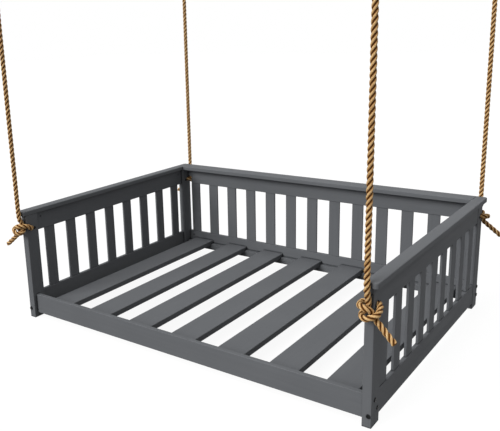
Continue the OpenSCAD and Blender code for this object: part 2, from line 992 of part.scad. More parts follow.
module cleat_screws(fit) {
    for (spot = cleat_screw_spots) {
        translate([spot, cleat_w - front_face_in, cleat_screw_z])
            rotate([-90, 0, 0])
                screw(cleat_screw_l, fit);
        translate([spot, back_face_in - cleat_w, cleat_screw_z])
            rotate([90, 0, 0])
                screw(cleat_screw_l, fit);
    }
}

module wood_screws() {
    color(steel)
        from_feet() {
            slat_screws(0);
            cleat_screws(0);
        }
}

// ---- The part ----

eye_bolts();
ceiling_washers();
for (n = [1:4]) {
    shackle(n);
    shackle_pin(n);
    thimble(n);
    seizing(n);
    rope(n);
    rope_flex(n);
    rope_knot(n);
    post(n);
}
cap_left();
cap_right();
cap_back();
upper_rail_left();
upper_rail_right();
upper_rail_back();
lower_rail_left();
lower_rail_right();
lower_rail_back();
front_rail();
cleat_front();
cleat_back();
spindles_left();
spindles_right();
spindles_back();
for (n = [1:slats])
    slat(n - 1);
post_bolts();
barrel_nuts();
cap_dowels();
wood_screws();
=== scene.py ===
# %% [markdown]
# # A hanging swing bed
# This lesson dresses a swing bed: a daybed of grey painted boards that hangs
# from a ceiling on four natural fibre ropes. The exact joinery already exists
# as a CAD model, so we load it as a fixed frame and never move it. Blender
# adds what a CAD model leaves out: twisted rope, wound twine, softened board
# edges, bolt heads with sockets, and the finishes.
# The frame's origin is on the ceiling, over the middle of the bed: +X runs
# along the bed, +Y goes to its panelled back and +Z is up, all in metres.

# %% Load the frame
import math

import bmesh
import bpy
import numpy as np
from mathutils import Matrix, Vector


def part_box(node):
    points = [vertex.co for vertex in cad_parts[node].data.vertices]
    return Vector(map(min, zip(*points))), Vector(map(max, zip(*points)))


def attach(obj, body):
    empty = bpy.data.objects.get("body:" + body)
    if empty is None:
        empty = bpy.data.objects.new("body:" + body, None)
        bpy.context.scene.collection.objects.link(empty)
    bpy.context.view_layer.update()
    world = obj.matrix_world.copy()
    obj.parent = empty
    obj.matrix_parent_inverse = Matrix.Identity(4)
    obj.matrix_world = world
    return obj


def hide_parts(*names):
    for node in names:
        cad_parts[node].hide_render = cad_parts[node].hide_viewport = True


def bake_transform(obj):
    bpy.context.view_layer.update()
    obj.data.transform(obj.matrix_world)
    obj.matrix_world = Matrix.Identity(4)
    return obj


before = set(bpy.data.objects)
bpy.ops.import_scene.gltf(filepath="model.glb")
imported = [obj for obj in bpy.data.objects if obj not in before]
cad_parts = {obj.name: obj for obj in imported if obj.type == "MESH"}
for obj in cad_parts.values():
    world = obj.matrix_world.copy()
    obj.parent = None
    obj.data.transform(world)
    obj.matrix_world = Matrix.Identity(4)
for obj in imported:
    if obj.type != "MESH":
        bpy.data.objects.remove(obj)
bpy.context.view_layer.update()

# %% [markdown]
# ## Camera
# The photographer stood in front of the bed's right end and looked slightly
# down. The position and the lens were worked out from the bed's own edges.
# The bed isn't centred on the lens axis, so the picture is a crop, and the
# camera's shift repeats that crop.

# %% Place the camera
FRAME_W, FRAME_H = 500, 431
# The lens and the point where its axis meets the picture, in pixels.
FOCAL_PX = 680.4
AXIS_U, AXIS_V = 197.7, 201.0
# Where it looks, in degrees: turned to the left, tipped down and leaning.
YAW, PITCH, ROLL = 37.11, 14.22, -1.96
STANDPOINT = (1.8979, -2.9736, -0.4927)
SENSOR_W = 36


def turned(yaw, pitch, roll):
    """The camera's right, up and forward directions."""
    yaw, pitch, roll = (math.radians(a) for a in (yaw, pitch, roll))
    ahead = Vector((-math.sin(yaw) * math.cos(pitch),
                    math.cos(yaw) * math.cos(pitch), -math.sin(pitch)))
    side = Vector((math.cos(yaw), math.sin(yaw), 0))
    over = side.cross(ahead)
    return (side * math.cos(roll) + over * math.sin(roll),
            over * math.cos(roll) - side * math.sin(roll), ahead)


camera_data = bpy.data.cameras.new("camera")
camera = bpy.data.objects.new("camera", camera_data)
bpy.context.scene.collection.objects.link(camera)
right, up, ahead = turned(YAW, PITCH, ROLL)
camera.rotation_mode = "QUATERNION"
camera.rotation_quaternion = Matrix((right, up, -ahead)).transposed().to_quaternion()
camera.location = STANDPOINT
camera_data.sensor_width = SENSOR_W
camera_data.lens = FOCAL_PX * SENSOR_W / FRAME_W
camera_data.shift_x = (FRAME_W / 2 - AXIS_U) / FRAME_W
camera_data.shift_y = (AXIS_V - FRAME_H / 2) / FRAME_W
bpy.context.scene.camera = camera
print("lens", round(camera_data.lens, 2), "mm")

# %% [markdown]
# ## Rope
# Each corner hangs on 25 mm manila rope. Three strands are laid to the right,
# so they climb like the middle stroke of a Z, and one turn takes about three
# rope diameters. A rope could be a plain tube with a bump, but its outline
# would stay straight. So we sweep a section of three lobes along the rope's
# route and turn it as it goes: the grooves between the strands are then real.
# The routes are the ones that the CAD model was made from, except that the two
# front knots are shifted a little up or down, as in the photograph.

# %% The route of one rope
CEILING = 2.020
ROPE_X, ROPE_Y = 0.980, 0.757
POST_FACE_Y = 0.725
HOLE_Z = 0.512 - CEILING
ROPE_R = 0.0125
STEP = 0.003
# The eye round the thimble: its arc, and its legs' depths below the thimble.
THIMBLE_Z = -0.1244
EYE_R = 0.0353
EYE_FROM, EYE_TO, EYE_POINTS = 215, -35, 13
LEG_X = 0.0129
LEG_DEPTHS = [0.112, 0.096, 0.080, 0.065, 0.050]
# The standing leg leans back to the rope's own line: x and depth.
LEG_END = [(0.0109, 0.128), (0.0066, 0.140), (0.0023, 0.152), (0, 0.165), (0, 0.180)]
SPLIT_Z = -1.381

# The knot's points u, v, w in millimetres: u from the post's middle towards the bed's end,
# v up from the rope hole and w out from the post's front or back face.
MM = 1000
knot_points = [
    (0, 99.2, 32), (0, 62, 29.5), (0.5, 45, 24), (1, 28, 18), (-1, 14, 15.5),
    (-7, 1, 15.5), (-14, -11, 19), (-18, -21, 28), (-14, -27, 39), (-3, -28, 47),
    (9, -26.5, 50), (21, -22, 49), (33, -16.5, 43.5), (42.5, -11, 31), (43, -5, 13),
    (38.5, -1, -6), (31.5, -0.5, -21.7), (19, 0, -28), (0, 0, -28), (-19, 0, -28),
    (-31.5, 2, -21.5), (-36, 4, -9), (-36, 7, 5), (-31, 10.5, 20), (-22, 12, 34),
    (-9, 10.5, 42.5), (5, 8, 43.5), (14.5, 2.5, 36), (18, -7, 26), (19.5, -18, 17.5),
    (24, -31, 14.5), (35, -43, 15.5), (52, -57, 19), (74, -76, 24), (112, -108, 32)]

# The photograph's two front knots were drawn tight at unlike heights: the shift in millimetres.
knot_lift = {(-1, -1): 13, (1, -1): -8, (-1, 1): 0, (1, 1): 0}
# Where a point of the knot may not be lifted at all, and where it may in full.
IN_HOLE_W, PAST_HOLE_W = -25, 10
AT_CAP_V, BELOW_CAP_V = 62, 12


def ramp(value, none, full):
    """0 at one value, 1 at another and even between them."""
    return min(max((value - none) / (full - none), 0), 1)


def free_of_post(v, w):
    """How far a point of the knot may be lifted: not in the hole, nor up at the cap."""
    return ramp(w, IN_HOLE_W, PAST_HOLE_W) * ramp(v, AT_CAP_V, BELOW_CAP_V)


def smooth(points, steps=24):
    """A smooth line through given points, which it all passes."""
    p = np.array(points, float)
    p = np.vstack([p[:1], p, p[-1:]])
    line = [0.5 * (2 * b + (c - a) * s + (2 * a - 5 * b + 4 * c - d) * s ** 2
                   + (3 * b - a - 3 * c + d) * s ** 3)
            for a, b, c, d in zip(p, p[1:], p[2:], p[3:])
            for s in np.arange(steps) / steps]
    return np.array(line + [p[-1]])


def distances(line):
    """How far along a line each of its points lies."""
    return np.r_[0, np.cumsum(np.linalg.norm(np.diff(line, axis=0), axis=1))]


def evenly(line, step):
    """The same line with a point every step."""
    run = distances(line)
    at = np.linspace(0, run[-1], round(run[-1] / step) + 1)
    return np.column_stack([np.interp(at, run, line[:, k]) for k in range(3)])


def rope_routes(sx, sy):
    """The hanging part, from the eye's tail down, and the knotted part."""
    eye = [(-LEG_X, THIMBLE_Z - depth) for depth in LEG_DEPTHS]
    for angle in np.radians(np.linspace(EYE_FROM, EYE_TO, EYE_POINTS)):
        eye.append((EYE_R * math.cos(angle), THIMBLE_Z + EYE_R * math.sin(angle)))
    eye += [(LEG_X, THIMBLE_Z - depth) for depth in reversed(LEG_DEPTHS)]
    eye += [(x, THIMBLE_Z - depth) for x, depth in LEG_END]
    eye = smooth([(sx * (ROPE_X + x), sy * ROPE_Y, z) for x, z in eye])
    straight = np.array([eye[-1], (sx * ROPE_X, sy * ROPE_Y, SPLIT_Z)])
    knot = smooth([(sx * (ROPE_X + u / MM), sy * (POST_FACE_Y + w / MM),
                    HOLE_Z + (v + knot_lift[sx, sy] * free_of_post(v, w)) / MM)
                   for u, v, w in knot_points])
    lead = np.array([straight[-1], knot[0]])
    return (evenly(np.vstack([eye, straight[1:]]), STEP),
            evenly(np.vstack([lead, knot[1:]]), STEP))


hanging, knotted = rope_routes(1, -1)
print("points in the hanging part and the knot:", len(hanging), len(knotted))

# %% [markdown]
# ## Laying the strands
# The section is the outline of three circles that overlap at the middle. It
# turns once in 75 mm of rope. Each ring of the mesh takes its direction from
# the ring before it, with no twist of its own, so the lay stays even round
# the knot. Three values go with each vertex for the finish: where it would lie
# on a straight rope, how deep in a groove it is, and whether it is a cut end.
# A cut end is drawn in over a few last rings, as if it had been singed.

# %% Sweep the rope
LAY = 0.075
LOBE_POINTS = 12
LOBE_OUT, LOBE_R = 0.0056, 0.0069
# Rings past a cut end: their share of the full size and their step out.
CUT_END = [(0.93, 0.0015), (0.74, 0.0030), (0.42, 0.0038)]
# What the finish reads at the middle of a cut end, between a strand's top and a groove.
CAP_GROOVE = 0.4


def section():
    """Angle and radius round the section of three strands."""
    angle = np.arange(3 * LOBE_POINTS) * 2 * math.pi / (3 * LOBE_POINTS)
    off = (angle + math.pi / 3) % (2 * math.pi / 3) - math.pi / 3
    across = LOBE_OUT * np.sin(off)
    return angle, LOBE_OUT * np.cos(off) + np.sqrt(LOBE_R ** 2 - across ** 2)


def directions(line, first):
    """The route's direction and a side direction at each point."""
    ahead = np.gradient(line, axis=0)
    ahead /= np.linalg.norm(ahead, axis=1)[:, None]
    sides = []
    for t in ahead:
        first = first - (first @ t) * t
        first = first / np.linalg.norm(first)
        sides.append(first)
    return ahead, np.array(sides)


def rings_round(line, turn, radius, first):
    """Rings of points round a line, and the line's direction at each ring."""
    ahead, side = directions(line, first)
    other = np.cross(ahead, side)
    return line[:, None] + np.asarray(radius)[..., None] * (
        np.cos(turn)[..., None] * side[:, None] + np.sin(turn)[..., None] * other[:, None]), ahead


def closed_tube(name, rings, caps):
    """A mesh of quads between rings, closed at both ends by the caps' own points."""
    n, m = rings.shape[:2]
    k = np.arange(m)
    walls = [(a * m + i, a * m + (i + 1) % m, (a + 1) * m + (i + 1) % m, (a + 1) * m + i)
             for a in range(n - 1) for i in k]
    points = np.vstack([rings.reshape(-1, 3), caps])
    ends = [(n * m, (i + 1) % m, i) for i in k]
    ends += [(n * m + 1, (n - 1) * m + i, (n - 1) * m + (i + 1) % m) for i in k]
    mesh = bpy.data.meshes.new(name)
    mesh.from_pydata(points.tolist(), [], [tuple(int(v) for v in f) for f in walls + ends])
    smooth_faces = np.ones(len(mesh.polygons), bool)
    smooth_faces[len(walls):] = False
    mesh.polygons.foreach_set("use_smooth", smooth_faces)
    tube = bpy.data.objects.new(name, mesh)
    bpy.context.scene.collection.objects.link(tube)
    return tube


def note(tube, name, kind, values):
    """Writes one value for each vertex as a named attribute."""
    layer = tube.data.attributes.new(name, kind, "POINT")
    layer.data.foreach_set("vector" if kind == "FLOAT_VECTOR" else "value",
                           np.asarray(values, np.float32).ravel())


def with_tip(tip, body, at_start):
    """A piece's rows, with the rows of its cut end before or after them."""
    return np.vstack([tip[::-1], body] if at_start else [body, tip])


def lay_rope(n, sx, sy):
    """One corner's rope as two pieces that meet where it bends above the cap rail."""
    hanging, knotted = rope_routes(sx, sy)
    line = np.vstack([hanging, knotted[1:]])
    run = distances(line)
    angle, radius = section()
    turn = angle[None, :] + 2 * math.pi * run[:, None] / LAY
    rings, ahead = rings_round(line, turn, radius, np.array([0.0, 1.0, 0.0]))
    straight = np.dstack([radius * np.cos(turn), radius * np.sin(turn),
                          np.broadcast_to(run[:, None], turn.shape)])
    groove = (ROPE_R - radius) / (ROPE_R - radius.min())
    split = len(hanging) - 1
    pieces = []
    for name, a, b, at_start in ((f"rope_hang_{n}", 0, split, True),
                                 (f"rope_tied_{n}", split, len(line) - 1, False)):
        end, outward = (a, -ahead[a]) if at_start else (b, ahead[b])
        tip = np.array([line[end] + (rings[end] - line[end]) * share + outward * out
                        for share, out in CUT_END])
        points = with_tip(tip, rings[a:b + 1], at_start)
        laid = with_tip(np.repeat(straight[end][None], len(tip), 0), straight[a:b + 1], at_start)
        is_cut = with_tip(np.ones(tip.shape[:2]), np.zeros(turn[a:b + 1].shape), at_start)
        tube = closed_tube(name, points, points[[0, -1]].mean(axis=1))
        note(tube, "straight", "FLOAT_VECTOR",
             np.vstack([laid.reshape(-1, 3), [[0, 0, run[a]], [0, 0, run[b]]]]))
        note(tube, "groove", "FLOAT",
             np.r_[np.tile(groove, len(points)), CAP_GROOVE, CAP_GROOVE])
        note(tube, "cut_end", "FLOAT", np.r_[is_cut.ravel(), at_start, not at_start])
        pieces.append((tube, line[a:b + 1], run[b] - run[a]))
    return pieces


corners = {1: (-1, -1), 2: (1, -1), 3: (-1, 1), 4: (1, 1)}
ropes = {n: lay_rope(n, sx, sy) for n, (sx, sy) in corners.items()}
for n, ((hang, _, hang_l), (tied, _, tied_l)) in ropes.items():
    print(f"rope {n}: {hang_l:.3f} m hanging and {tied_l:.3f} m in its lead, knot and tail")

# %% [markdown]
# ## Putting the ropes in place
# A rope bends where it meets the cap rail, and the frame has two hinges there.
# Each rope's two pieces stay where they were laid, and the CAD model's own rope,
# bend and knot are hidden.

for n, (sx, sy) in corners.items():
    (hang, hang_line, hang_l), (tied, tied_line, tied_l) = ropes[n]
    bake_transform(hang)
    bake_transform(tied)
    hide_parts(f"rope_{n}", f"rope_flex_{n}")
    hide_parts(f"rope_knot_{n}")

# %% [markdown]
# ## Boards and spindles by hand
# Most boards come from the CAD model as they are. The cap rails and the
# spindles have softer edges than it gives them, and that is where paint catches
# the light. So each is modelled as by hand: a cube at its size and place, whose
# edges are picked by where they lie and bevelled.

# %% Helpers for shaping a board
SAME_PLACE = 1e-5
# Faces that meet at a smaller angle than this, in degrees, are shaded as one.
SMOOTH_TO = 40


def deselect():
    bpy.ops.object.select_all(action="DESELECT")


def board(name, low, high):
    """A cube primitive that fills the space between two corners."""
    deselect()
    bpy.ops.mesh.primitive_cube_add(size=1)
    piece = bpy.context.object
    piece.name = name
    piece.location = [(a + b) / 2 for a, b in zip(low, high)]
    piece.scale = [b - a for a, b in zip(low, high)]
    bpy.ops.object.transform_apply(location=True, rotation=True, scale=True)
    return piece


def pick(piece, wanted, kind="EDGE"):
    """Goes into edit mode and selects the edges or faces that a test wants."""
    bpy.context.view_layer.objects.active = piece
    bpy.ops.object.mode_set(mode="EDIT")
    bpy.ops.mesh.select_mode(type=kind)
    bpy.ops.mesh.select_all(action="DESELECT")
    mesh = bmesh.from_edit_mesh(piece.data)
    for part in mesh.edges if kind == "EDGE" else mesh.faces:
        part.select_set(bool(wanted(part)))
    bmesh.update_edit_mesh(piece.data)


def round_edges(piece, width, segments, wanted):
    """Bevels the edges that a test wants."""
    pick(piece, wanted)
    bpy.ops.mesh.bevel(offset=width, segments=segments, affect="EDGES")
    bpy.ops.object.mode_set(mode="OBJECT")


def shade(piece, degrees=SMOOTH_TO):
    """Smooth shading over bevels, while the large faces stay flat."""
    deselect()
    piece.select_set(True)
    bpy.context.view_layer.objects.active = piece
    bpy.ops.object.shade_smooth_by_angle(angle=math.radians(degrees))
    piece.modifiers.new("flat faces first", "WEIGHTED_NORMAL").keep_sharp = True
    bpy.ops.object.modifier_apply(modifier="flat faces first")


def near(a, b):
    return abs(a - b) < SAME_PLACE


def upright(edge):
    a, b = (v.co for v in edge.verts)
    return near(a.x, b.x) and near(a.y, b.y)


def at_height(z):
    """A test for the edges that lie at one height."""
    return lambda edge: all(near(v.co.z, z) for v in edge.verts)


print("edges are picked where they lie, to", SAME_PLACE, "m")

# %% [markdown]
# ## Cap rails
# The wide boards on top of the posts have a rounded corner at each free end, a
# soft top edge that a sleeve slides over, and a small bevel below. The back cap
# rail butts between the other two, so its ends keep a tight edge and the joint
# shows as a fine line.

# %% Model the cap rails
CAP_CORNER, CAP_TOP, CAP_BELOW, CAP_JOINT = 0.016, 0.0045, 0.0025, 0.001
LONG = 1.0


def at_end(edge):
    """Whether an edge lies across the back cap rail, at one of its ends."""
    return near(*(v.co.x for v in edge.verts))


def is_long(edge):
    """Whether an edge runs along the back cap rail."""
    a, b = (v.co.x for v in edge.verts)
    return abs(a - b) > LONG


def cap_rail(side):
    low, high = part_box(f"cap_{side}")
    piece = board(f"cap_rail_{side}", low, high)
    if side == "back":
        round_edges(piece, CAP_JOINT, 1, at_end)
    else:
        # The inner corner at the back stays square, against the back cap rail.
        inner = low[0] if side == "right" else high[0]
        round_edges(piece, CAP_CORNER, 6, lambda e: upright(e) and not (
            near(e.verts[0].co.x, inner) and near(e.verts[0].co.y, high[1])))
    for z, width, segments in ((high[2], CAP_TOP, 4), (low[2], CAP_BELOW, 2)):
        level = at_height(z)
        round_edges(piece, width, segments,
                    lambda e: level(e) and (side != "back" or is_long(e)))
    shade(piece)
    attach(piece, "bed")
    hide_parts(f"cap_{side}")
    return piece


cap_rails = {side: cap_rail(side) for side in ("left", "right", "back")}
print("cap rails:", [len(c.data.polygons) for c in cap_rails.values()], "faces")

# %% [markdown]
# ## Spindles
# Thin flat boards stand between the lower and the upper rails, each with a
# tenon at both ends that goes into its rail. One is modelled at the origin: a
# cube with bevelled long edges, whose ends are inset and drawn out into
# tenons. Then it is copied along each panel, with a mesh of its own every time.

# %% Model one spindle
SPINDLE_W, SPINDLE_T = 0.068, 0.012
SPINDLE_EDGE = 0.0018
TENON_L, TENON_STEP, TENON_CHEEK = 0.012, 0.006, 0.002


def spindle():
    low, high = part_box("spindles_back")
    half = (high[2] - low[2]) / 2 - TENON_L
    corner = (SPINDLE_W / 2, SPINDLE_T / 2, half)
    piece = board("spindle", [-c for c in corner], corner)
    round_edges(piece, SPINDLE_EDGE, 2, upright)
    pick(piece, lambda f: abs(f.normal.z) > 0.9, "FACE")
    bpy.ops.mesh.inset(thickness=TENON_CHEEK)
    narrow = (SPINDLE_W - 2 * TENON_STEP) / (SPINDLE_W - 2 * TENON_CHEEK)
    bpy.ops.transform.resize(value=(narrow, 1, 1), center_override=(0, 0, 0))
    bpy.ops.mesh.extrude_region_shrink_fatten(TRANSFORM_OT_shrink_fatten={"value": TENON_L})
    bpy.ops.object.mode_set(mode="OBJECT")
    shade(piece)
    return piece


def copies(model, name, places):
    """Copies of a model, each turned and placed by a matrix, joined into one piece."""
    deselect()
    for place in places:
        copy = bpy.data.objects.new(name, model.data.copy())
        copy.data.transform(place)
        bpy.context.scene.collection.objects.link(copy)
        copy.select_set(True)
    bpy.context.view_layer.objects.active = copy
    if len(places) > 1:
        bpy.ops.object.join()
    joined = bpy.context.view_layer.objects.active
    joined.name = name
    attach(joined, "bed")
    return joined


def panel(side, count):
    """A panel's spindles, evenly between the first and the last."""
    low, high = (Vector(c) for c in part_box(f"spindles_{side}"))
    axis = 0 if side == "back" else 1
    turn = Matrix.Rotation(math.radians(0 if side == "back" else 90), 4, "Z")
    places = []
    for i in range(count):
        middle = (low + high) / 2
        middle[axis] = (low[axis] + SPINDLE_W / 2
                        + i * (high[axis] - low[axis] - SPINDLE_W) / (count - 1))
        places.append(Matrix.Translation(middle) @ turn)
    piece = copies(one_spindle, f"{side}_spindles", places)
    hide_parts(f"spindles_{side}")
    return piece


one_spindle = spindle()
panels = {side: panel(side, count) for side, count in (("left", 8), ("right", 9), ("back", 13))}
bpy.data.objects.remove(one_spindle)
print("spindles:", {side: len(p.data.polygons) for side, p in panels.items()}, "faces")

# %% [markdown]
# ## Bolts
# Low flat heads with a hexagon socket show on the posts. A head is a cylinder
# with a bevelled rim, its shank is drawn out of its underside, and the socket
# is cut with a six-sided cylinder. The end rails' upper bolts have flush heads
# that were filled and painted over, so they are a piece of their own in paint.

# %% Model a bolt
HEAD_R, FLUSH_HEAD_R, CROSS_HEAD_R = 0.009, 0.007, 0.007
HEAD_H, CROSS_HEAD_H = 0.004, 0.003
HEAD_RIM, HEAD_SIDES = 0.0008, 32
RIM_SMOOTH_TO = 35
SOCKET_R, SOCKET_SIDES = 0.0035, 6
SHANK_R = 0.004


def bolt(head_r, head_h, shank):
    """A bolt along X, with its head's seat at the origin and its shank towards -X."""
    deselect()
    bpy.ops.mesh.primitive_cylinder_add(vertices=HEAD_SIDES, radius=head_r, depth=head_h,
                                        location=(0, 0, head_h / 2))
    piece = bpy.context.object
    bpy.ops.object.transform_apply(location=True, rotation=False, scale=False)
    round_edges(piece, HEAD_RIM, 2, at_height(head_h))
    pick(piece, lambda f: f.normal.z < -0.9, "FACE")
    bpy.ops.mesh.inset(thickness=head_r - SHANK_R)
    bpy.ops.mesh.extrude_region_move(TRANSFORM_OT_translate={"value": (0, 0, -shank)})
    bpy.ops.object.mode_set(mode="OBJECT")
    deselect()
    bpy.ops.mesh.primitive_cylinder_add(vertices=SOCKET_SIDES, radius=SOCKET_R, depth=head_h,
                                        location=(0, 0, head_h))
    cutter = bpy.context.object
    piece.modifiers.new("socket", "BOOLEAN").object = cutter
    bpy.context.view_layer.objects.active = piece
    bpy.ops.object.modifier_apply(modifier="socket")
    bpy.data.objects.remove(cutter)
    shade(piece, RIM_SMOOTH_TO)
    piece.data.transform(Matrix.Rotation(math.radians(90), 4, "Y"))
    return piece


print("a bolt head is", 2 * HEAD_R, "m wide")

# %% [markdown]
# ## Where the bolts go
# All four posts carry the same kinds of bolts, so a spot is written once,
# measured from the bed's middle and up from its feet, and mirrored to each
# corner. Only the side bolts differ between the front and the back. The cross
# bolt beside each rope hole has a head on both sides of its post.

# %% Place the bolts
POST_OUT_X, POST_W, POST_D = 1.000, 0.040, 0.078
BOLT_REACH = 0.045
SIDE_RAIL_X, END_BOLT_Z, FLUSH_Z = 0.988, 0.050, 0.556
LOW_Z, HIGH_Z, UPPER_RAIL_Z = 0.063, 0.110, 0.572
FRONT_LOW_Y, FRONT_HIGH_Y, BACK_Y = 0.666, 0.693, 0.713
CROSS_Y, CROSS_Z = 0.674, 0.508
FRONT, BACK, BOTH = -1, 1, 0


def bolt_places(spots):
    """A place at every corner for each spot: along X or Y, and its x, y and height."""
    places = []
    for sx, sy in corners.values():
        for axis, wanted, x, y, z in spots:
            if wanted in (BOTH, sy):
                facing = math.atan2(0, sx) if axis == "x" else math.atan2(sy, 0)
                places.append(Matrix.Translation((sx * x, sy * y, z - CEILING))
                              @ Matrix.Rotation(facing, 4, "Z"))
    return places


post_bolt = bolt(HEAD_R, HEAD_H, POST_W + BOLT_REACH)
end_bolt = bolt(HEAD_R, HEAD_H, POST_D + BOLT_REACH)
flush_bolt = bolt(FLUSH_HEAD_R, HEAD_H, POST_D - HEAD_H + BOLT_REACH)
cross_bolt = bolt(CROSS_HEAD_R, CROSS_HEAD_H, POST_W / 2)
cross_places = bolt_places([("x", BOTH, POST_OUT_X, CROSS_Y, CROSS_Z)])
# The same places, on the post's inner side and facing the other way.
cross_places += [
    place @ Matrix.Translation((-POST_W, 0, 0)) @ Matrix.Rotation(math.pi, 4, "Z")
    for place in cross_places]
dark_bolts = [
    copies(post_bolt, "post_bolts_in_black", bolt_places([
        ("x", FRONT, POST_OUT_X, FRONT_LOW_Y, LOW_Z),
        ("x", FRONT, POST_OUT_X, FRONT_HIGH_Y, HIGH_Z),
        ("x", BACK, POST_OUT_X, BACK_Y, LOW_Z),
        ("x", BACK, POST_OUT_X, BACK_Y, HIGH_Z),
        ("x", BACK, POST_OUT_X, BACK_Y, UPPER_RAIL_Z)])),
    copies(end_bolt, "end_bolts_in_black", bolt_places([
        ("y", BOTH, SIDE_RAIL_X, POST_FACE_Y, END_BOLT_Z)])),
    copies(cross_bolt, "cross_bolts_in_black", cross_places)]
painted_bolts = copies(flush_bolt, "flush_bolts_in_paint", bolt_places([
    ("y", BOTH, SIDE_RAIL_X, POST_FACE_Y - HEAD_H, FLUSH_Z)]))
for piece, slot in [(p, "black_bolts") for p in dark_bolts] + [(painted_bolts, "painted_wood")]:
    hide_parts("post_bolts")
for model in (post_bolt, end_bolt, flush_bolt, cross_bolt):
    bpy.data.objects.remove(model)
print("bolt pieces:", [p.name for p in dark_bolts + [painted_bolts]])

# %% [markdown]
# ## Seizings
# Below each thimble the rope's tail is bound to its standing part by two bands
# of tarred twine. Each band is one length of twine wound in eight turns round
# both legs, so its path is a rounded oval that climbs a little each turn.

# %% Wind the twine
TWINE_R, TWINE_TURNS, TWINE_POINTS, TWINE_SIDES = 0.0011, 8, 48, 8
TWINE_GAP = 0.0004
# How sharply the winding turns from its straight sides to its round ends.
OVAL = 6
SEIZINGS_BELOW = [0.062, 0.088]
SEIZING_H = 0.018


def wound_band(sx, sy, middle_z):
    """The winding of one band: its tube's rings, and its line round the two legs."""
    reach = ROPE_R + TWINE_GAP + TWINE_R
    turns = np.arange(TWINE_TURNS * TWINE_POINTS + 1) / TWINE_POINTS
    angle = turns * 2 * math.pi
    x = reach * np.cos(angle) + LEG_X * np.tanh(OVAL * np.cos(angle))
    y = reach * np.sin(angle)
    z = middle_z + (turns / TWINE_TURNS - 0.5) * (SEIZING_H - 2 * TWINE_R)
    line = np.column_stack([sx * (ROPE_X + x), sy * ROPE_Y + y, z])
    around = np.arange(TWINE_SIDES) * 2 * math.pi / TWINE_SIDES
    return rings_round(line, around, TWINE_R, np.array([0.0, 0.0, 1.0]))[0], line


twine_pieces = []
for n, (sx, sy) in corners.items():
    for k, below in enumerate(SEIZINGS_BELOW):
        rings, line = wound_band(sx, sy, THIMBLE_Z - below)
        band = closed_tube(f"twine_{n}_{k + 1}", rings, line[[0, -1]])
        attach(band, f"rope_{n}")
        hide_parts(f"seizing_{n}")
        twine_pieces.append(band)
print("wound", len(twine_pieces), "bands of twine")

# %% [markdown]
# ## Helpers for the finishes
# Every finish is a small network of nodes. One function adds a node with its
# settings and its links, and another turns a colour as a painter would write
# it into the linear values that Blender mixes. A few more stand for the nodes
# that nearly every finish uses: noise, a mix of two colours, a change of range
# and a bump.

# %% Material helpers
def linear(hex_colour):
    """An sRGB hex colour as linear red, green, blue and alpha."""
    parts = [int(hex_colour[i:i + 2], 16) / 255 for i in (1, 3, 5)]
    return tuple(c / 12.92 if c <= 0.04045 else ((c + 0.055) / 1.055) ** 2.4
                 for c in parts) + (1.0,)


def feed(material, node, inputs):
    """Sets a node's inputs, each to a value or to the output socket that feeds it."""
    for name, value in inputs.items():
        if isinstance(value, bpy.types.NodeSocket):
            material.node_tree.links.new(value, node.inputs[name])
        else:
            node.inputs[name].default_value = value


def add(material, kind, inputs=None, **settings):
    """Adds a node with its settings and its inputs."""
    node = material.node_tree.nodes.new(kind)
    for name, value in settings.items():
        setattr(node, name, value)
    feed(material, node, inputs or {})
    return node


def blank(material):
    """Gives a material, or the world, an empty network."""
    material.use_nodes = True
    material.node_tree.nodes.clear()
    return material


def new_material(name):
    """A material with only a surface shader and its output."""
    material = blank(bpy.data.materials.new(name))
    shader = add(material, "ShaderNodeBsdfPrincipled")
    add(material, "ShaderNodeOutputMaterial", {"Surface": shader.outputs[0]})
    return material, shader


def on_object(material):
    """The place on the piece itself, in metres."""
    return add(material, "ShaderNodeTexCoord").outputs["Object"]


def attribute(material, name, output="Fac"):
    """A value that was noted at the mesh's vertices."""
    return add(material, "ShaderNodeAttribute", attribute_name=name).outputs[output]


def scaled(material, place, scale):
    """A place scaled along each axis: a share below 1 draws a pattern out along it."""
    return add(material, "ShaderNodeMapping", {"Vector": place, "Scale": scale}).outputs[0]


def noise(material, place, scale, detail, **inputs):
    """Noise between 0 and 1, whose patches are about 1/scale metres wide."""
    return add(material, "ShaderNodeTexNoise",
               {"Vector": place, "Scale": scale, "Detail": detail, **inputs}).outputs[0]


def mix(material, share, low, high):
    """The colour between two, each given as a hex colour or as a socket."""
    low, high = (linear(c) if isinstance(c, str) else c for c in (low, high))
    return add(material, "ShaderNodeMix", {0: share, 6: low, 7: high},
               data_type="RGBA").outputs[2]


def remap(material, value, start, end, low=0.0, high=1.0, **settings):
    """Maps the range from start to end onto low to high, and holds the rest there."""
    return add(material, "ShaderNodeMapRange",
               {"Value": value, "From Min": start, "From Max": end, "To Min": low,
                "To Max": high}, **settings).outputs[0]


def calculate(material, operation, a, b):
    return add(material, "ShaderNodeMath", {0: a, 1: b}, operation=operation).outputs[0]


def bump(material, height, strength, distance):
    """A surface that is raised by a height of 0 to 1 times the distance."""
    return add(material, "ShaderNodeBump", {"Height": height, "Strength": strength,
                                            "Distance": distance}).outputs[0]


print("a mid grey of #808080 is linear", round(linear("#808080")[0], 3))

# %% [markdown]
# ## Satin paint on boards
# The timber is brushed with a satin grey paint. Close up it has fine brush
# marks along each board, the grain shows through as a slight ripple, and the
# gloss wavers a little. Marks run along the board, so there is one finish for
# boards along each axis: the same noise, stretched along that axis. A brush
# hair leaves a line about 1 mm wide, drawn here at 2.5 mm so that it shows.
# Where boards meet, the paint is darkened within 15 mm of a joint: painted
# shade in the crevices. Its reflections are weak, because at a low angle the
# white studio would wash the grey out, which the photograph doesn't show.

# %% Paint
DRAWN_ALONG = 0.04
JOINT_SHADE_REACH = 0.015


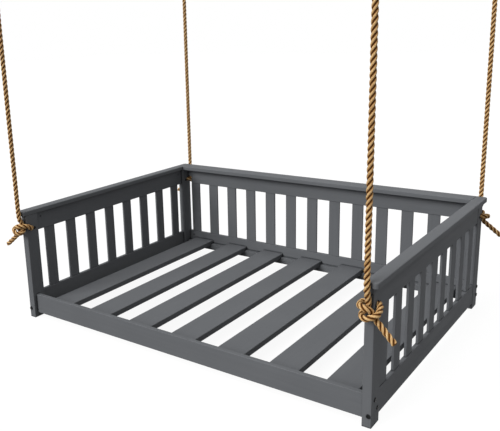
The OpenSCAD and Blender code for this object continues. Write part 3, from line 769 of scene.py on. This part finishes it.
def satin_paint(name, along):
    material, shader = new_material(name)
    place = on_object(material)
    stretch = [1.0, 1.0, 1.0]
    stretch[along] = DRAWN_ALONG
    board = scaled(material, place, stretch)
    marks = noise(material, board, 400.0, 3.0, Roughness=0.55)
    grain = noise(material, board, 70.0, 4.0, Distortion=0.6)
    cloud = noise(material, place, 3.0, 2.0)
    tone = mix(material, cloud, "#606265", "#6b6d70")
    ripple = mix(material, grain, "#5a5c5f", "#717376")
    colour = mix(material, 0.35, tone, ripple)
    # Painted shade: within 15 mm of another board the colour darkens towards #232426.
    nearby = add(material, "ShaderNodeAmbientOcclusion", {"Distance": JOINT_SHADE_REACH}, samples=8)
    joint = remap(material, nearby.outputs["AO"], 0.88, 0.45, high=0.85)
    height = calculate(material, "ADD", marks, grain)
    feed(material, shader, {
        "Base Color": mix(material, joint, colour, "#232426"),
        "Roughness": remap(material, grain, 0.3, 0.7, 0.58, 0.72),
        "Normal": bump(material, height, 0.25, 0.0005),
        "IOR": 1.48, "Specular IOR Level": 0.05})
    return material


paint = {axis: satin_paint(f"satin_paint_along_{axis}", k) for k, axis in enumerate("xyz")}
print("paint finishes:", [m.name for m in paint.values()])

# %% [markdown]
# ## Manila
# Manila is a hard leaf fibre, golden where it is new. Each strand's crown shows
# the pale fibre, which also stands in as a painted highlight, and the colour is
# painted darker down its flanks to brown in the grooves between the strands:
# painted shade. The fibres lie along the rope. They are thinner than a hair, so
# the streaks are drawn 1.4 mm wide. The colour reads the place that a vertex
# would have on a straight rope, so the streaks follow every bend.

# %% Rope finish
STREAK_W = 0.0014
SINGED = "#6b4a20"


def rope_fibre(name, light, middle, dark):
    material, shader = new_material(name)
    laid = attribute(material, "straight", "Vector")
    deep = attribute(material, "groove")
    along = scaled(material, laid, (1, 1, 0.10))
    fibres = noise(material, along, 1 / STREAK_W, 4.0, Roughness=0.7)
    bands = remap(material, noise(material, laid, 45.0, 2.0), 0.4, 1.0)
    fibre = mix(material, remap(material, fibres, 0.25, 0.62), middle, light)
    # Painted shade: darker from each strand's crown down its flanks into the grooves, with random
    # dull bands.
    flank_shade_and_bands = calculate(material, "MAXIMUM", remap(material, deep, 0.02, 0.5), bands)
    body = mix(material, flank_shade_and_bands, fibre, middle)
    shaded = remap(material, deep, 0.2, 0.85, interpolation_type="SMOOTHSTEP")
    outside = mix(material, shaded, body, dark)
    feed(material, shader, {
        "Base Color": mix(material, attribute(material, "cut_end"), outside, SINGED),
        "Normal": bump(material, fibres, 0.7, 0.0008),
        "Roughness": 0.72, "Specular IOR Level": 0.15})
    return material


manila = rope_fibre("manila_rope_fibre", "#f6d49c", "#8f5a1a", "#3b1d02")
for (hang, _, _), (tied, _, _) in ropes.values():
    hang.data.materials.append(manila)
    tied.data.materials.append(manila)
print("rope finish:", manila.name)

# %% [markdown]
# ## Metals
# The eye bolts, shackles, pins, thimbles and washers are hot-dip galvanised:
# zinc freezes on steel in crystals a few millimetres across, each with its own
# brightness, under a dull bloom. The post bolts have a black oxide finish.

# %% Steel finishes
CRYSTAL = 0.006


def zinc(name, pale, dull):
    material, shader = new_material(name)
    place = on_object(material)
    bloom = noise(material, place, 300.0, 2.0)
    crystals = add(material, "ShaderNodeTexVoronoi", {"Vector": place, "Scale": 1 / CRYSTAL})
    level = add(material, "ShaderNodeSeparateColor", {0: crystals.outputs["Color"]}).outputs[0]
    mixed = add(material, "ShaderNodeMix", {0: 0.4, 2: level, 3: bloom}).outputs[0]
    feed(material, shader, {
        "Base Color": mix(material, mixed, dull, pale),
        "Roughness": remap(material, mixed, 0.0, 1.0, 0.52, 0.34),
        "Normal": bump(material, mixed, 0.15, 0.0004),
        "Metallic": 1.0})
    return material


def black_oxide(name):
    material, shader = new_material(name)
    mottle = noise(material, on_object(material), 500.0, 4.0)
    feed(material, shader, {
        "Base Color": mix(material, mottle, "#0a0a0b", "#18191b"),
        "Roughness": remap(material, mottle, 0.0, 1.0, 0.5, 0.36),
        "Normal": bump(material, mottle, 0.1, 0.0003),
        "Metallic": 0.3, "Specular IOR Level": 0.2})
    return material


galvanised = zinc("hot_dip_galvanised_steel", "#b4b9bc", "#83898e")
oxide = black_oxide("black_oxide_steel")
print("steel finishes:", galvanised.name, oxide.name)

# %% [markdown]
# ## Beech
# The dowels in the cap rails are bare beech. Nobody sees them, but they can be
# taken out, so they get the short flecks and pale rings of the real wood.

# %% Beech finish
def beech(name):
    material, shader = new_material(name)
    along = scaled(material, on_object(material), (1, 1, 0.1))
    flecks = noise(material, along, 900.0, 3.0)
    feed(material, shader, {
        "Base Color": mix(material, flecks, "#9c7648", "#c9a676"),
        "Normal": bump(material, flecks, 0.3, 0.0003),
        "Roughness": 0.6})
    return material


bare_beech = beech("bare_beech")
print("dowel finish:", bare_beech.name)

# %% [markdown]
# ## Tarred twine
# Seizing twine is hemp soaked in pine tar: dark brown, a little shiny, with
# fine fibres that stand up from it and catch the light.

# %% Twine finish
def tarred_twine(name):
    material, shader = new_material(name)
    fuzz = noise(material, on_object(material), 1200.0, 3.0)
    feed(material, shader, {
        "Base Color": mix(material, fuzz, "#38240f", "#75522c"),
        "Normal": bump(material, fuzz, 0.6, 0.0004),
        "Roughness": 0.55})
    return material


tarred = tarred_twine("tarred_hemp_twine")
print("twine finish:", tarred.name)

# %% [markdown]
# ## Finishing the pieces
# Each board gets the paint whose brush marks run along it. The bed was painted
# after it was put together, so the screws and the barrel nuts are painted too.

# %% Give every piece its finish
def dress(piece, finish):
    piece.data.materials.clear()
    piece.data.materials.append(finish)


finishes = [
    (("upper_rail_back", "lower_rail_back", "front_rail", "cleat_"), paint["x"]),
    (("upper_rail_", "lower_rail_", "slat_"), paint["y"]),
    (("eye_bolts", "ceiling_washers", "shackle_", "thimble_"), galvanised),
    (("cap_dowels",), bare_beech)]
for name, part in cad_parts.items():
    dress(part, next((f for starts, f in finishes if name.startswith(starts)), paint["z"]))
for side, piece in cap_rails.items():
    dress(piece, paint["x" if side == "back" else "y"])
for piece in list(panels.values()) + [painted_bolts]:
    dress(piece, paint["z"])
for piece in dark_bolts:
    dress(piece, oxide)
for piece in twine_pieces:
    dress(piece, tarred)
print("finished", len(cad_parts), "CAD parts")

# %% [markdown]
# ## Floor
# The photograph is a cut-out on white with a faint shadow. A floor lies just
# under the posts' feet. Rays from the camera, or by way of gloss, see a dark
# matt grey with a glow added to it: where the light reaches it the two come to
# white, and the shadow stays. All other rays see a plain grey with no glow, so
# the floor lights the bed from below no more than a real one would.

# %% Make the floor
FLOOR_SIZE, FLOOR_GAP = 60, 0.002
FLOOR_GLOW = 0.93


def seen_directly(material):
    """1 for rays from the camera, or by way of gloss or glass, and 0 for others."""
    rays = add(material, "ShaderNodeLightPath").outputs
    first = calculate(material, "MAXIMUM", rays["Is Camera Ray"], rays["Is Glossy Ray"])
    return calculate(material, "MAXIMUM", first, rays["Is Transmission Ray"])


deselect()
bpy.ops.mesh.primitive_plane_add(size=FLOOR_SIZE, location=(0, 0, 0))
floor = bpy.context.object
floor.name = "floor"
floor.data.transform(Matrix.Translation((0, 0, -CEILING - FLOOR_GAP)))
cover = blank(bpy.data.materials.new("pale_studio_floor"))
matt = add(cover, "ShaderNodeBsdfDiffuse", {"Color": linear("#5a5a5a")})
glow = add(cover, "ShaderNodeEmission", {"Color": linear("#ffffff"), "Strength": FLOOR_GLOW})
lifted = add(cover, "ShaderNodeAddShader", {0: matt.outputs[0], 1: glow.outputs[0]})
pale = add(cover, "ShaderNodeBsdfDiffuse", {"Color": linear("#747474")})
either = add(cover, "ShaderNodeMixShader", {0: seen_directly(cover), 1: pale.outputs[0],
                                            2: lifted.outputs[0]})
add(cover, "ShaderNodeOutputMaterial", {"Surface": either.outputs[0]})
dress(floor, cover)
print("the floor lies", FLOOR_GAP, "m under the feet")

# %% [markdown]
# ## Light
# A broad light from the left in front gives the fronts and tops their full
# tone, and leaves the faces that look right darker. A soft one from above
# lifts the tops, and a faint one from behind opens the shadows on the back. The
# world is white to the camera and a weaker, even light to everything else.

# %% Lights
AMBIENT = 0.41
world = blank(bpy.data.worlds.new("studio"))
bpy.context.scene.world = world
soft = add(world, "ShaderNodeBackground", {"Color": linear("#ffffff"), "Strength": AMBIENT})
backdrop = add(world, "ShaderNodeBackground", {"Color": linear("#ffffff"), "Strength": 1.0})
sky = add(world, "ShaderNodeMixShader", {0: seen_directly(world), 1: soft.outputs[0],
                                         2: backdrop.outputs[0]})
add(world, "ShaderNodeOutputWorld", {"Surface": sky.outputs[0]})


def sun(name, towards, level, spread):
    """A far, broad light; level 1 shows a facing white surface as white."""
    data = bpy.data.lights.new(name, "SUN")
    data.energy = level * math.pi
    data.angle = math.radians(spread)
    lamp = bpy.data.objects.new(name, data)
    lamp.rotation_mode = "QUATERNION"
    lamp.rotation_quaternion = Vector(towards).to_track_quat("-Z", "Y")
    bpy.context.scene.collection.objects.link(lamp)


sun("key_light", (0.26, 0.84, -0.48), 0.76, 30)
sun("top_light", (0.05, 0.10, -1.0), 0.24, 50)
sun("back_light", (-0.05, -0.90, -0.40), 0.16, 80)
bpy.context.scene.view_settings.view_transform = "Standard"
print("lamps:", sorted(lamp.name for lamp in bpy.data.lights))
